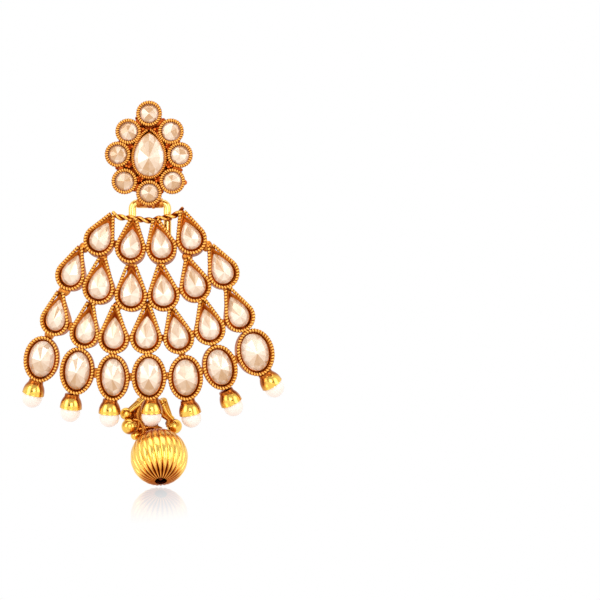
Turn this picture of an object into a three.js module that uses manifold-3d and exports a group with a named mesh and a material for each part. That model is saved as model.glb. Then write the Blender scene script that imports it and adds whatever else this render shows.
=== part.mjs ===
// Chandelier drop earring: a flower stud on a post, a wire hanger that swings in a tube behind the flower,
// a domed openwork panel of 24 stone settings in four rows, seven pearls in caps, and a ribbed ball on a pin.
// Millimetres, +Z up, the front faces -Y. The origin is where the post leaves the flat back of the flower.
import * as THREE from "three";
import { mergeVertices } from "three/addons/utils/BufferGeometryUtils.js";
import Module from "manifold-3d";

const wasm = await Module();
wasm.setup();

// ---- Driving dimensions ----
const GAP = 0.3; // between a stone, pearl or pin and the metal round it
const DEGREE = Math.PI / 180;

const PLATE = 0.5; // thickness of the flower's back plate
const FLOWER_DEPTH = 2.5; // from the flat back to the front of the rims
const FLOWER_RIM = { half: 0.35, slope: 0.3, overhang: 0.25 }; // half depth, bevel and lip of its rims
const POST = { radius: 0.4, length: 12, point: 0.6, headRadius: 1, head: 0.45 };

const HINGE = { y: 1, z: -8.6 }; // axis of the tube behind the flower, along X
const TUBE = { radius: 1.2, bore: 0.9, length: 4.6 };
const TUBE_SOLDER = { width: 3, depth: 0.7, height: 1.7, above: 0.35 }; // from the tube to the flower
const HANGER = { wire: 0.6, halfWidth: 3.18, corner: 1, footY: 0.75, footZ: -14.8 };

const PANEL = { crownY: -2.08, crownZ: -24, bendAcross: 55, bendDown: 140, tilt: 0.018 };
const SETTING_DEPTH = 2.4;
const RIM = 0.4; // radius of the wire round a setting's front
const STRIP = { outside: 0.3, inside: 0.65 }; // the strip's faces, in from the rim's outline
const LEDGE = { depth: 2.1, tearWindow: 1.25, ovalBorder: 1.35 };
const STONE_INSET = STRIP.inside + GAP;
const STONE = { sunk: 0.75, tearRise: 1.2, ovalRise: 1.5 }; // girdle behind the rim, and centre above it
const FACETS = { ring: 0.55, ringRise: 0.62, back: 0.85 }; // as parts of the girdle and of the rise

const CAP = { outer: 2.25, inner: 2.05, edge: 20, neck: 0.75, depth: 1.3 }; // edge in degrees of height
const PEARL_RADIUS = CAP.inner - GAP - 0.05;
const ROPE = { radius: 0.5, depth: 0.8 };
const WEB = { reach: 1.35, bite: 0.15, long: 0.9, thick: 0.9, depth: 1.5 }; // solder between two strips

const BALL = { radius: 5.17, wall: 0.5, ribs: 24, groove: 0.28, hole: 1.1, x: 1.67, y: 1, z: -54.27 };
const BALL_TWIST = 6 * DEGREE; // of a rib, from the waist to a pole
const BALL_LEAN = { forward: 34 * DEGREE, sideways: 6 * DEGREE }; // of the hole at its foot
const RING = { x: 0.2, radius: 2, wire: 0.3, topY: 3.55, topZ: -43.9, lean: 36 * DEGREE };
const EYE = { radius: 1.4, wire: 0.3, y: 3.2, z: -43.5 };
const LINK = { radius: 0.95, wire: 0.3 }; // the small loops at the ends of the pins
const PIN = { neck: 3.5, headRadius: 0.68, head: 0.35, headLift: 0.15 }; // neck from the ball to the loop
const STRAND_TURN = 58 * DEGREE; // from the top of the jump ring down to a strand's loop

// ---- Tables ----
// The flower's eight round settings, clockwise from the top: centre of each.
const FLOWER_ROUNDS = [
  { x: 0, z: 7.3 },
  { x: 3.9, z: 4.1 },
  { x: 5.5, z: -0.1 },
  { x: 4.15, z: -4.8 },
  { x: 0, z: -6.9 },
  { x: -4.4, z: -4.8 },
  { x: -5.6, z: 0 },
  { x: -3.7, z: 4.1 },
];
const ROUND = { radius: 2.28, stone: 1.68, sunk: 0.5, rise: 0.75, backY: -0.1 };
const PEAR = { z: 0.15, halfX: 3.22, halfZ: 4.6, fullness: 0.4, inside: 0.4, ledge: 0.8, ledgeY: -1.35 };
const PEAR_STONE = { sunk: 0.3, rise: 1.7 };

// Teardrop settings, each row from the left: centre of the round part, lean of the tip to the right in
// degrees, radius of the round part, and how far the tip is from its centre.
const TEARS = [
  { row: 1, x: -9.1, z: -15.3, lean: 27, radius: 2.85, tip: 5.2 },
  { row: 1, x: -3.4, z: -16.7, lean: 6, radius: 2.8, tip: 5.3 },
  { row: 1, x: 2.2, z: -16.7, lean: -12, radius: 2.8, tip: 5.2 },
  { row: 1, x: 7.6, z: -15.1, lean: -19, radius: 2.8, tip: 5.1 },
  { row: 2, x: -14.4, z: -21.6, lean: 21, radius: 2.8, tip: 5.4 },
  { row: 2, x: -9.2, z: -23.9, lean: 8, radius: 2.95, tip: 5.4 },
  { row: 2, x: -3.3, z: -25.2, lean: 1, radius: 2.95, tip: 5.4 },
  { row: 2, x: 2.6, z: -25.2, lean: -6, radius: 2.9, tip: 5.4 },
  { row: 2, x: 8.3, z: -23.6, lean: -16, radius: 2.9, tip: 5.3 },
  { row: 2, x: 13.4, z: -21.2, lean: -26, radius: 2.9, tip: 5.4 },
  { row: 3, x: -17.3, z: -29.8, lean: 13, radius: 2.8, tip: 5.3 },
  { row: 3, x: -11.8, z: -32.1, lean: 12, radius: 2.75, tip: 5.7 },
  { row: 3, x: -6.5, z: -33, lean: 3, radius: 2.8, tip: 5.9 },
  { row: 3, x: -0.6, z: -32.9, lean: 3, radius: 2.9, tip: 5.9 },
  { row: 3, x: 5.3, z: -33, lean: -13, radius: 2.8, tip: 5.5 },
  { row: 3, x: 10.9, z: -31.4, lean: -14, radius: 2.85, tip: 5.6 },
  { row: 3, x: 16.3, z: -29.1, lean: -24, radius: 2.85, tip: 5.7 },
];

// Oval settings of the lowest row from the left: centre, turn to the right and lean in degrees, half width
// and half height.
const OVALS = [
  { x: -19.7, z: -36.75, turn: -6, lean: 9, halfX: 3.25, halfZ: 4.25 },
  { x: -13.15, z: -38.85, turn: -5, lean: 6, halfX: 3.15, halfZ: 4.35 },
  { x: -6.65, z: -40, turn: -5, lean: 0, halfX: 3, halfZ: 4.3 },
  { x: -0.1, z: -39.9, turn: 0, lean: 0, halfX: 3.15, halfZ: 4.3 },
  { x: 6.5, z: -40.05, turn: 6, lean: -2, halfX: 3.15, halfZ: 4.2 },
  { x: 12.7, z: -38.2, turn: 13, lean: -15, halfX: 3.15, halfZ: 4.2 },
  { x: 19.1, z: -35.5, turn: 18, lean: -17, halfX: 3.5, halfZ: 4.4 },
];

// The pearl below each oval setting: its centre, and the lean of its cap in degrees.
const PEARLS = [
  { x: -21.5, z: -43.73, lean: 14.5 },
  { x: -14.45, z: -46.25, lean: 6.5 },
  { x: -7.35, z: -47.15, lean: 3 },
  { x: 0.26, z: -47, lean: 0 },
  { x: 7.42, z: -47.23, lean: -12 },
  { x: 14.95, z: -45.24, lean: -25 },
  { x: 22.32, z: -41.9, lean: -33 },
];

// The twisted bar that the tips of the first row are soldered to, from the left.
const ROPE_POINTS = [
  { x: -6.9, z: -10.6 },
  { x: -5.3, z: -11.2 },
  { x: -3, z: -11.4 },
  { x: 0, z: -11.8 },
  { x: 2, z: -11.4 },
  { x: 4.4, z: -10.9 },
  { x: 6.3, z: -9.9 },
];

// Small gold beads, each strand from the jump ring down.
const LEFT_BEADS = [
  { x: -4.55, y: 4, z: -46.55, radius: 1.05 },
  { x: -3.8, y: 3, z: -48.85, radius: 1.45 },
  { x: -2.75, y: 4.1, z: -50.5, radius: 0.9 },
];
const RIGHT_BEADS = [{ x: 4.25, y: 4.9, z: -48.9, radius: 1.38 }];

// ---- Materials ----
const material = (color, roughness, metalness) =>
  new THREE.MeshStandardMaterial({ color, roughness, metalness });
const antiqueGold = material(0xc98a2c, 0.38, 1);
const brightGold = material(0xeebd55, 0.22, 1);
const champagneStone = material(0xe6d3bb, 0.08, 0.1);
const creamPearl = material(0xf6ebdd, 0.2, 0);

// ---- Solids and lofts ----
const solid = (geometry) => {
  const bare = geometry.clone();
  bare.deleteAttribute("normal");
  bare.deleteAttribute("uv");
  const merged = mergeVertices(bare, 1e-4);
  const vertProperties = merged.attributes.position.array;
  const triVerts = new Uint32Array(merged.index.array);
  return new wasm.Manifold(new wasm.Mesh({ numProp: 3, vertProperties, triVerts }));
};

const join = (solids) => solids.reduce((whole, piece) => whole.add(piece));

function addPiece(group, name, made, finish) {
  const { numProp, vertProperties, triVerts } = made.getMesh();
  const geometry = new THREE.BufferGeometry();
  geometry.setAttribute("position", new THREE.BufferAttribute(vertProperties, numProp));
  geometry.setIndex(new THREE.BufferAttribute(triVerts, 1));
  geometry.computeVertexNormals();
  const mesh = new THREE.Mesh(geometry, finish);
  mesh.name = name;
  group.add(mesh);
}

const placed = (geometry, matrix) => solid(geometry.applyMatrix4(matrix));

// Outlines in a setting's own plane, x to the right and z up; all of one kind have the same point count.
const ARC_STEPS = 8;
const OVAL_POINTS = 12;
const PEAR_POINTS = 14;
const PEAR_SWELL = 0.885; // the greatest value of a pear's swell below

function teardrop(radius, tip) {
  const start = Math.acos(radius / tip);
  const points = [{ x: 0, z: tip }];
  for (let i = 0; i <= ARC_STEPS; i++) {
    const turn = start + ((2 * Math.PI - 2 * start) * i) / ARC_STEPS;
    points.push({ x: radius * Math.sin(turn), z: radius * Math.cos(turn) });
  }
  return points;
}

// A teardrop moved in by the same distance all round keeps its angle at the tip.
const insetTear = ({ radius, tip }, inset) => teardrop(radius - inset, (tip * (radius - inset)) / radius);

// The flower's pear shape, rounder towards its tip than a teardrop.
const insetPear = (inset) =>
  Array.from({ length: PEAR_POINTS }, (_, i) => {
    const turn = (2 * Math.PI * i) / PEAR_POINTS;
    const swell = Math.sin(turn) * Math.abs(Math.sin(turn / 2)) ** PEAR.fullness;
    return { x: ((PEAR.halfX - inset) * swell) / PEAR_SWELL, z: (PEAR.halfZ - inset) * Math.cos(turn) };
  });

// The round window at a teardrop setting's back, with as many points as its outline.
const windowRound = ({ radius, tip }, windowRadius) =>
  teardrop(radius, tip).map(({ x, z }) => {
    const scale = windowRadius / Math.hypot(x, z);
    return { x: x * scale, z: z * scale };
  });

const insetOval = ({ halfX, halfZ }, inset) =>
  Array.from({ length: OVAL_POINTS }, (_, i) => {
    const turn = (2 * Math.PI * i) / OVAL_POINTS;
    return { x: (halfX - inset) * Math.sin(turn), z: (halfZ - inset) * Math.cos(turn) };
  });

const shrink = (outline, scale) => outline.map(({ x, z }) => ({ x: x * scale, z: z * scale }));

// A closed body through sections of equal point count, each { outline, y }. A ring joins its last section
// to its first; a lens is closed by a point in front, at frontY, and a flat back.
function loft(sections, frontY = null) {
  const count = sections[0].outline.length;
  const positions = sections.flatMap(({ outline, y }) => outline.flatMap(({ x, z }) => [x, y, z]));
  const index = [];
  const quads = frontY === null ? sections.length : sections.length - 1;
  for (let s = 0; s < quads; s++) {
    const near = s * count;
    const far = ((s + 1) % sections.length) * count;
    for (let i = 0; i < count; i++) {
      const next = (i + 1) % count;
      index.push(near + i, near + next, far + i, far + i, near + next, far + next);
    }
  }
  if (frontY !== null) {
    const front = sections.length * count;
    const back = front + 1;
    positions.push(0, frontY, 0, 0, sections.at(-1).y, 0);
    const last = (sections.length - 1) * count;
    for (let i = 0; i < count; i++) {
      const next = (i + 1) % count;
      index.push(front, next, i, back, last + i, last + next);
    }
  }
  const geometry = new THREE.BufferGeometry();
  geometry.setAttribute("position", new THREE.Float32BufferAttribute(positions, 3));
  geometry.setIndex(index);
  return geometry;
}

// A body of revolution whose axis runs back along Y; its profile is [radius, y] from the front.
const turned = (profile, sides) =>
  new THREE.LatheGeometry(
    profile.map(([radius, y]) => new THREE.Vector2(radius, y)),
    sides,
  );

// A round wire through the given points.
function wire(points, radius, sides, steps) {
  const route = new THREE.CatmullRomCurve3(points, false, "catmullrom");
  const section = new THREE.Shape();
  for (let i = 0; i < sides; i++) {
    const turn = (2 * Math.PI * (i + 0.5)) / sides;
    const place = [radius * Math.cos(turn), radius * Math.sin(turn)];
    if (i === 0) section.moveTo(...place);
    else section.lineTo(...place);
  }
  return new THREE.ExtrudeGeometry(section, { steps, extrudePath: route, bevelEnabled: false });
}

// ---- The panel's domed face ----
const panelY = (x, z) =>
  PANEL.crownY +
  (x * x) / (2 * PANEL.bendAcross) +
  (z - PANEL.crownZ) ** 2 / (2 * PANEL.bendDown) -
  PANEL.tilt * (z - PANEL.crownZ);

// The dome's slopes at a place, and axes that stand on it there: right, back along the normal, and up. A
// place with a turn of its own doesn't follow the dome across.
const slopeAcross = ({ x, turn }) => (turn === undefined ? x / PANEL.bendAcross : Math.tan(turn * DEGREE));
const slopeUp = ({ z }) => (z - PANEL.crownZ) / PANEL.bendDown - PANEL.tilt;

function domeAxes(place) {
  const back = new THREE.Vector3(-slopeAcross(place), 1, -slopeUp(place)).normalize();
  const right = new THREE.Vector3(0, slopeUp(place), 1).cross(back).negate().normalize();
  const up = new THREE.Vector3().crossVectors(right, back);
  return new THREE.Matrix4().makeBasis(right, back, up);
}

const leaned = (degrees) => new THREE.Matrix4().makeRotationY(degrees * DEGREE);

const onPanel = (place) =>
  domeAxes(place).setPosition(place.x, panelY(place.x, place.z), place.z).multiply(leaned(place.lean));

// A pearl and its cap hang in the plane of the oval setting above them.
const capPlace = (oval, pearl) =>
  domeAxes(oval)
    .setPosition(
      pearl.x,
      panelY(oval.x, oval.z) +
        slopeAcross(oval) * (pearl.x - oval.x) +
        slopeUp(oval) * (pearl.z - oval.z) +
        CAP.depth,
      pearl.z,
    )
    .multiply(leaned(pearl.lean));

// ---- Settings and stones ----
// Wire rim in front, strip wall behind it, and at the back a ledge, thinned to its edge, under the stone.
const settingRing = (inset, window) =>
  loft([
    { outline: inset(RIM), y: 0 },
    { outline: inset(0), y: RIM },
    { outline: inset(STRIP.outside), y: 2 * RIM },
    { outline: inset(STRIP.outside), y: SETTING_DEPTH },
    { outline: window, y: SETTING_DEPTH },
    { outline: inset(STRIP.inside), y: LEDGE.depth },
  ]);

const tearSetting = (tear) =>
  settingRing((inset) => insetTear(tear, inset), windowRound(tear, LEDGE.tearWindow));

const ovalSetting = (oval) =>
  settingRing((inset) => insetOval(oval, inset), insetOval(oval, LEDGE.ovalBorder));

// A faceted stone with a raised centre: a point, a ring of facets, the girdle and a flat back.
function stone(girdle, girdleY, rise, backY) {
  return loft(
    [
      { outline: shrink(girdle, FACETS.ring), y: girdleY - FACETS.ringRise * rise },
      { outline: girdle, y: girdleY },
      { outline: shrink(girdle, FACETS.back), y: backY },
    ],
    girdleY - rise,
  );
}

const STONE_BACK = LEDGE.depth - GAP;

// ---- Stud: plate, rims and tube in one soldered frame; the centre stone and the post ----
function roundSetting({ x, z }) {
  const girdleY = -FLOWER_DEPTH + ROUND.sunk;
  const wall = ROUND.radius - FLOWER_RIM.overhang;
  const profile = [
    [0, girdleY - ROUND.rise],
    [ROUND.stone, girdleY],
    [ROUND.radius - FLOWER_RIM.slope, -FLOWER_DEPTH],
    [ROUND.radius, -FLOWER_DEPTH + FLOWER_RIM.half],
    [wall, -FLOWER_DEPTH + 2 * FLOWER_RIM.half],
    [wall, ROUND.backY],
    [0, ROUND.backY],
  ];
  return placed(turned(profile, 10), new THREE.Matrix4().makeTranslation(x, 0, z));
}

function studFrame() {
  const plate = new THREE.Shape(FLOWER_ROUNDS.map(({ x, z }) => new THREE.Vector2(x, z)));
  const plateGeometry = new THREE.ExtrudeGeometry(plate, { depth: PLATE, bevelEnabled: false });
  const pear = loft([
    { outline: insetPear(FLOWER_RIM.slope), y: -FLOWER_DEPTH },
    { outline: insetPear(0), y: -FLOWER_DEPTH + FLOWER_RIM.half },
    { outline: insetPear(0), y: -PLATE / 2 },
    { outline: insetPear(PEAR.inside + PEAR.ledge), y: -PLATE / 2 },
    { outline: insetPear(PEAR.inside + PEAR.ledge), y: PEAR.ledgeY },
    { outline: insetPear(PEAR.inside), y: PEAR.ledgeY },
  ]);
  const alongX = new THREE.Matrix4().makeRotationZ(Math.PI / 2).setPosition(0, HINGE.y, HINGE.z);
  const tube = placed(new THREE.CylinderGeometry(TUBE.radius, TUBE.radius, TUBE.length, 14), alongX);
  const bore = placed(new THREE.CylinderGeometry(TUBE.bore, TUBE.bore, TUBE.length + 2, 14), alongX);
  const solder = placed(
    new THREE.BoxGeometry(TUBE_SOLDER.width, TUBE_SOLDER.depth, TUBE_SOLDER.height),
    new THREE.Matrix4().makeTranslation(0, 0, HINGE.z + TUBE_SOLDER.above),
  );
  const postHole = placed(
    new THREE.CylinderGeometry(POST.radius + GAP, POST.radius + GAP, 4 * PLATE, 12),
    new THREE.Matrix4(),
  );
  return join([
    placed(plateGeometry, new THREE.Matrix4().makeRotationX(Math.PI / 2)),
    placed(pear, new THREE.Matrix4().makeTranslation(0, 0, PEAR.z)),
    ...FLOWER_ROUNDS.map(roundSetting),
    tube,
    solder,
  ])
    .subtract(bore)
    .subtract(postHole);
}

function centreStone() {
  const girdle = insetPear(PEAR.inside + GAP);
  const geometry = stone(girdle, -FLOWER_DEPTH + PEAR_STONE.sunk, PEAR_STONE.rise, PEAR.ledgeY - GAP);
  return placed(geometry, new THREE.Matrix4().makeTranslation(0, 0, PEAR.z));
}

function earPost() {
  const headBack = -PLATE - GAP;
  const profile = [
    [0, headBack - POST.head],
    [POST.headRadius, headBack - POST.head],
    [POST.headRadius, headBack],
    [POST.radius, headBack],
    [POST.radius, POST.length - POST.point],
    [POST.radius / 2, POST.length],
    [0, POST.length],
  ];
  return solid(turned(profile, 12));
}

// ---- Drop frame: everything soldered to the panel ----
function hanger() {
  const { wire: radius, halfWidth, corner, footY, footZ } = HANGER;
  const place = (x, z, y = HINGE.y) => new THREE.Vector3(x, y, z);
  const shoulder = HINGE.z - corner;
  const arcPoints = [0, 22.5, 45, 67.5, 90].map((turn) => turn * DEGREE);
  const left = arcPoints.map((turn) =>
    place(-halfWidth + corner * (1 - Math.cos(turn)), shoulder + corner * Math.sin(turn)),
  );
  const right = left.map(({ x, z }) => place(-x, z)).reverse();
  const points = [place(-halfWidth, footZ, footY), ...left, ...right, place(halfWidth, footZ, footY)];
  return sweep(points, radius, 8);
}

// A round wire through corners, mitred at each.
function sweep(points, radius, sides) {
  const rings = points.map((point, i) => {
    const before = points[Math.max(i - 1, 0)];
    const after = points[Math.min(i + 1, points.length - 1)];
    const along = new THREE.Vector3().subVectors(after, before).normalize();
    const side = new THREE.Vector3(0, 1, 0);
    const out = new THREE.Vector3().crossVectors(along, side).normalize();
    return Array.from({ length: sides }, (_, k) => {
      const turn = (2 * Math.PI * (k + 0.5)) / sides;
      return point
        .clone()
        .addScaledVector(side, radius * Math.cos(turn))
        .addScaledVector(out, radius * Math.sin(turn));
    });
  });
  const positions = rings.flat().flatMap((point) => point.toArray());
  const index = [];
  for (let r = 0; r + 1 < rings.length; r++) {
    for (let k = 0; k < sides; k++) {
      const a = r * sides + k;
      const b = r * sides + ((k + 1) % sides);
      index.push(a, b, a + sides, b, b + sides, a + sides);
    }
  }
  const last = (rings.length - 1) * sides;
  for (let k = 1; k + 1 < sides; k++) index.push(0, k + 1, k, last, last + k, last + k + 1);
  const geometry = new THREE.BufferGeometry();
  geometry.setAttribute("position", new THREE.Float32BufferAttribute(positions, 3));
  geometry.setIndex(index);
  return geometry;
}

// A cup over the upper half of the pearl, with a neck that runs up into the setting's wall.
function pearlCap(oval, i) {
  const pearl = PEARLS[i];
  const { outer, inner, edge, neck } = CAP;
  const footX = oval.x - oval.halfZ * Math.sin(oval.lean * DEGREE);
  const footZ = oval.z - oval.halfZ * Math.cos(oval.lean * DEGREE);
  const neckTop = Math.hypot(pearl.x - footX, pearl.z - footZ) + STRIP.inside;
  const at = (radius, degrees) => [radius * Math.cos(degrees * DEGREE), radius * Math.sin(degrees * DEGREE)];
  const profile = [
    [0, inner],
    at(inner, 60),
    at(inner, 40),
    at(inner, edge),
    at(outer, edge),
    at(outer, 40),
    at(outer, 58),
    [neck, outer + 0.05],
    [neck, neckTop],
    [0, neckTop],
  ].map(([radius, z]) => new THREE.Vector2(radius, z));
  return placed(new THREE.LatheGeometry(profile, 8).rotateX(Math.PI / 2), capPlace(oval, pearl));
}

// Where two settings nearly touch, a web of solder bridges their strips behind the rims.
function solderWebs() {
  const strips = [
    ...TEARS.map((tear) => ({ outline: insetTear(tear, STRIP.outside), place: onPanel(tear) })),
    ...OVALS.map((oval) => ({ outline: insetOval(oval, STRIP.outside), place: onPanel(oval) })),
  ].map(({ outline, place }) =>
    subdivide(outline).map(({ x, z }) => new THREE.Vector3(x, WEB.depth, z).applyMatrix4(place)),
  );
  const webs = [];
  strips.forEach((first, i) =>
    strips.slice(i + 1).forEach((second) => {
      const { gap, from, to } = nearest(first, second);
      if (gap < WEB.reach) webs.push(web(gap, from, to));
    }),
  );
  return webs;
}

const subdivide = (outline) =>
  outline.flatMap((point, i) => {
    const next = outline[(i + 1) % outline.length];
    return [0, 0.25, 0.5, 0.75].map((t) => ({
      x: point.x + t * (next.x - point.x),
      z: point.z + t * (next.z - point.z),
    }));
  });

function nearest(first, second) {
  let best = { gap: Infinity };
  for (const from of first) {
    for (const to of second) {
      const gap = from.distanceTo(to);
      if (gap < best.gap) best = { gap, from, to };
    }
  }
  return best;
}

function web(gap, from, to) {
  const across = new THREE.Vector3().subVectors(to, from).normalize();
  const along = new THREE.Vector3(0, 1, 0).cross(across).normalize();
  const back = new THREE.Vector3().crossVectors(across, along).negate();
  const place = new THREE.Matrix4().makeBasis(across, back, along);
  place.setPosition(from.clone().lerp(to, 0.5));
  return placed(new THREE.BoxGeometry(gap + 2 * WEB.bite, WEB.thick, WEB.long), place);
}

function dropFrame() {
  const rope = wire(
    ROPE_POINTS.map(({ x, z }) => new THREE.Vector3(x, panelY(x, z) + ROPE.depth, z)),
    ROPE.radius,
    6,
    12,
  );
  const eye = new THREE.TorusGeometry(EYE.radius, EYE.wire, 5, 10);
  const eyePlace = new THREE.Matrix4().makeRotationY(Math.PI / 2).setPosition(RING.x, EYE.y, EYE.z);
  return join([
    solid(hanger()),
    solid(rope),
    placed(eye, eyePlace),
    ...TEARS.map((tear) => placed(tearSetting(tear), onPanel(tear))),
    ...OVALS.map((oval) => placed(ovalSetting(oval), onPanel(oval))),
    ...OVALS.map(pearlCap),
    ...solderWebs(),
  ]);
}

// ---- The ball and the small beads that hang behind the middle pearl ----
const ringCentre = new THREE.Vector3(
  RING.x,
  RING.topY + RING.radius * Math.sin(RING.lean),
  RING.topZ - RING.radius * Math.cos(RING.lean),
);

function jumpRing() {
  const place = new THREE.Matrix4().makeRotationX(Math.PI / 2 + RING.lean).setPosition(ringCentre);
  return placed(new THREE.TorusGeometry(RING.radius, RING.wire, 5, 14), place);
}

const ballPlace = new THREE.Matrix4()
  .makeTranslation(BALL.x, BALL.y, BALL.z)
  .multiply(new THREE.Matrix4().makeRotationY(-BALL_LEAN.sideways))
  .multiply(new THREE.Matrix4().makeRotationX(-BALL_LEAN.forward));

// A hollow bead pressed with meridian ribs, open at both poles.
function ribbedBall() {
  const { radius, wall, ribs, groove, hole } = BALL;
  const inner = radius - wall - groove;
  const outerStart = Math.asin(hole / radius);
  const innerStart = Math.asin(hole / inner);
  const outerSteps = 5;
  const innerSteps = 2;
  const level = (size, polar, depth) => ({ size, polar, depth });
  const levels = [];
  for (let i = 0; i <= outerSteps; i++) {
    const polar = outerStart + ((Math.PI - 2 * outerStart) * i) / outerSteps;
    levels.push(level(radius, polar, groove * Math.min(1, 1.6 * Math.sin(polar))));
  }
  for (let i = innerSteps; i >= 0; i--) {
    levels.push(level(inner, innerStart + ((Math.PI - 2 * innerStart) * i) / innerSteps, 0));
  }
  const sections = levels.map(({ size, polar, depth }) => ({
    y: size * Math.cos(polar),
    outline: Array.from({ length: 2 * ribs }, (_, i) => {
      const turn = (Math.PI * i) / ribs + BALL_TWIST * Math.cos(polar);
      const reach = (size - (i % 2) * depth) * Math.sin(polar);
      return { x: reach * Math.cos(turn), z: reach * Math.sin(turn) };
    }),
  }));
  return placed(loft(sections).rotateX(Math.PI / 2), ballPlace);
}

// Along the ball's axis: a loop on the jump ring, the shaft, and a head inside the lower hole.
function ballPin() {
  const eyeHeight = BALL.radius + PIN.neck;
  const headFoot = -BALL.radius + PIN.headLift;
  const profile = [
    [0, headFoot],
    [PIN.headRadius, headFoot],
    [PIN.headRadius, headFoot + PIN.head],
    [LINK.wire, headFoot + PIN.head],
    [LINK.wire, eyeHeight - LINK.radius],
    [0, eyeHeight - LINK.radius],
  ].map(([radius, z]) => new THREE.Vector2(radius, z));
  const shaft = new THREE.LatheGeometry(profile, 8).rotateX(Math.PI / 2);
  const loop = new THREE.TorusGeometry(LINK.radius, LINK.wire, 5, 8);
  const loopPlace = new THREE.Matrix4().makeRotationY(Math.PI / 2).setPosition(0, 0, eyeHeight);
  return join([placed(shaft, ballPlace), placed(loop, ballPlace.clone().multiply(loopPlace))]);
}

// Beads on a pin that ends in a loop round the side of the jump ring.
function beadStrand(beads, side) {
  const angle = side * STRAND_TURN;
  const outward = new THREE.Vector3(
    Math.sin(angle),
    -Math.cos(angle) * Math.sin(RING.lean),
    Math.cos(angle) * Math.cos(RING.lean),
  );
  const across = new THREE.Vector3(0, Math.cos(RING.lean), Math.sin(RING.lean));
  const along = new THREE.Vector3().crossVectors(outward, across);
  const onRing = ringCentre.clone().addScaledVector(outward, RING.radius);
  const loop = new THREE.TorusGeometry(LINK.radius, LINK.wire, 5, 8);
  const loopPlace = new THREE.Matrix4().makeBasis(outward, across, along).setPosition(onRing);
  const route = [
    onRing.clone().addScaledVector(outward, LINK.radius),
    ...beads.map(({ x, y, z }) => new THREE.Vector3(x, y, z)),
  ];
  const balls = beads.map(({ x, y, z, radius }) =>
    placed(new THREE.SphereGeometry(radius, 8, 4), new THREE.Matrix4().makeTranslation(x, y, z)),
  );
  return join([placed(loop, loopPlace), solid(sweep(route, LINK.wire, 6)), ...balls]);
}

// ---- The assembly ----
const earring = new THREE.Group();

addPiece(earring, "stud_frame", studFrame(), antiqueGold);
addPiece(earring, "centre_stone", centreStone(), champagneStone);
addPiece(earring, "ear_post", earPost(), brightGold);
addPiece(earring, "drop_frame", dropFrame(), antiqueGold);

const countInRow = {};
for (const tear of TEARS) {
  countInRow[tear.row] = (countInRow[tear.row] ?? 0) + 1;
  const girdle = insetTear(tear, STONE_INSET);
  const made = placed(stone(girdle, STONE.sunk, STONE.tearRise, STONE_BACK), onPanel(tear));
  addPiece(earring, `tear_stone_${tear.row}_${countInRow[tear.row]}`, made, champagneStone);
}
OVALS.forEach((oval, i) => {
  const girdle = insetOval(oval, STONE_INSET);
  const made = placed(stone(girdle, STONE.sunk, STONE.ovalRise, STONE_BACK), onPanel(oval));
  addPiece(earring, `oval_stone_${i + 1}`, made, champagneStone);
  const pearl = placed(new THREE.SphereGeometry(PEARL_RADIUS, 8, 5), capPlace(oval, PEARLS[i]));
  addPiece(earring, `pearl_${i + 1}`, pearl, creamPearl);
});

addPiece(earring, "jump_ring", jumpRing(), antiqueGold);
addPiece(earring, "bead_strand_left", beadStrand(LEFT_BEADS, -1), brightGold);
addPiece(earring, "bead_strand_right", beadStrand(RIGHT_BEADS, 1), brightGold);
addPiece(earring, "ball_pin", ballPin(), antiqueGold);
addPiece(earring, "ribbed_ball", ribbedBall(), brightGold);

export default earring;
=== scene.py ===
# A gold-plated chandelier drop earring: a flower stud of glass stones, and a drop that swings under it.
# Lengths are in millimetres until a mesh is made. X is to the right, Y to the back, Z up.
import math

import bmesh
import bpy
import numpy as np
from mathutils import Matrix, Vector


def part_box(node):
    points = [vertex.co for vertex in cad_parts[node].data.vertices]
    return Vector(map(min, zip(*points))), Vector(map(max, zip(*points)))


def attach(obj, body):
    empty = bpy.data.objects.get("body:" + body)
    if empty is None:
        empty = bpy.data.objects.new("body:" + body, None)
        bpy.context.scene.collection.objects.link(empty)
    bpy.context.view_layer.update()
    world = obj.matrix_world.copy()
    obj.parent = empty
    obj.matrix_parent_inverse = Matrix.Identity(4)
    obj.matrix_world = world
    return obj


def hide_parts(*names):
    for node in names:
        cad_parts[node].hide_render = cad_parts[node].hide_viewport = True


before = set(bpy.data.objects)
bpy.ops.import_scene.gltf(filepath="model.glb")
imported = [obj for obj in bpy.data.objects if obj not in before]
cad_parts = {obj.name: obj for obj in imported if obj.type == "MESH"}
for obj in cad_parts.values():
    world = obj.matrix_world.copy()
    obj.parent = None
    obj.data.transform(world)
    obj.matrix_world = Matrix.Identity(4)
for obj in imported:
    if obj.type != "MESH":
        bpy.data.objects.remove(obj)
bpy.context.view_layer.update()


# ---- Flower plate ----
# A flat brass plate cut to the flower's outline. The settings are soldered on its front, and the solder has
# run between them. The plate's colour is painted shade, dark and reddish, for the floor between the cups.
MM = 0.001
DEEP_SHADE_TINT = (0.36, 0.2, 0.12)  # what is left of the dark tone's red, green and blue where the painted shade is deepest


class Signal:
    """A node's output. Arithmetic on it, with a number or another signal, adds Math nodes."""

    def __init__(self, nodes, socket):
        self.nodes = nodes
        self.socket = socket

    def _math(self, operation, first, second):
        return self.nodes.node("ShaderNodeMath", {"operation": operation}, {0: first, 1: second})

    def __add__(self, other):
        return self._math("ADD", self, other)

    def __radd__(self, other):
        return self._math("ADD", other, self)

    def __sub__(self, other):
        return self._math("SUBTRACT", self, other)

    def __rsub__(self, other):
        return self._math("SUBTRACT", other, self)

    def __mul__(self, other):
        return self._math("MULTIPLY", self, other)

    def __rmul__(self, other):
        return self._math("MULTIPLY", other, self)


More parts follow.
